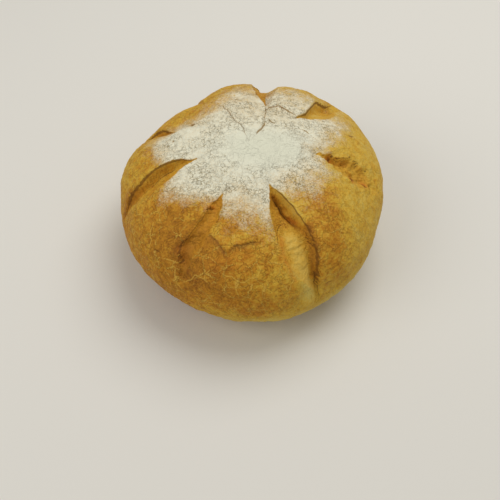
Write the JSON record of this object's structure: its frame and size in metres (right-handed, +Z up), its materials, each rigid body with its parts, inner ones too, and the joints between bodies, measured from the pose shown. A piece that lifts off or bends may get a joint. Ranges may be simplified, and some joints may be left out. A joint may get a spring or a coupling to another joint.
{
  "type": "sourdough loaf",
  "caption": "Round domed sourdough loaf, scored from the crown into rounded petals, with a flour-dusted top and a flat underside to rest on.",
  "frame": {"origin": "centre of the loaf's bounding box on its flat underside", "axes": "+Z up from the underside to the crown, -Y towards the loaf's front, +X to its right"},
  "size_m": [0.196, 0.2098, 0.1],
  "materials": {
    "crust": "matt baked crust, golden brown, with off-white flour dust on the crown"
  },
  "bodies": {
    "root": {"sourdough_loaf": "crust"}
  },
  "joints": []
}
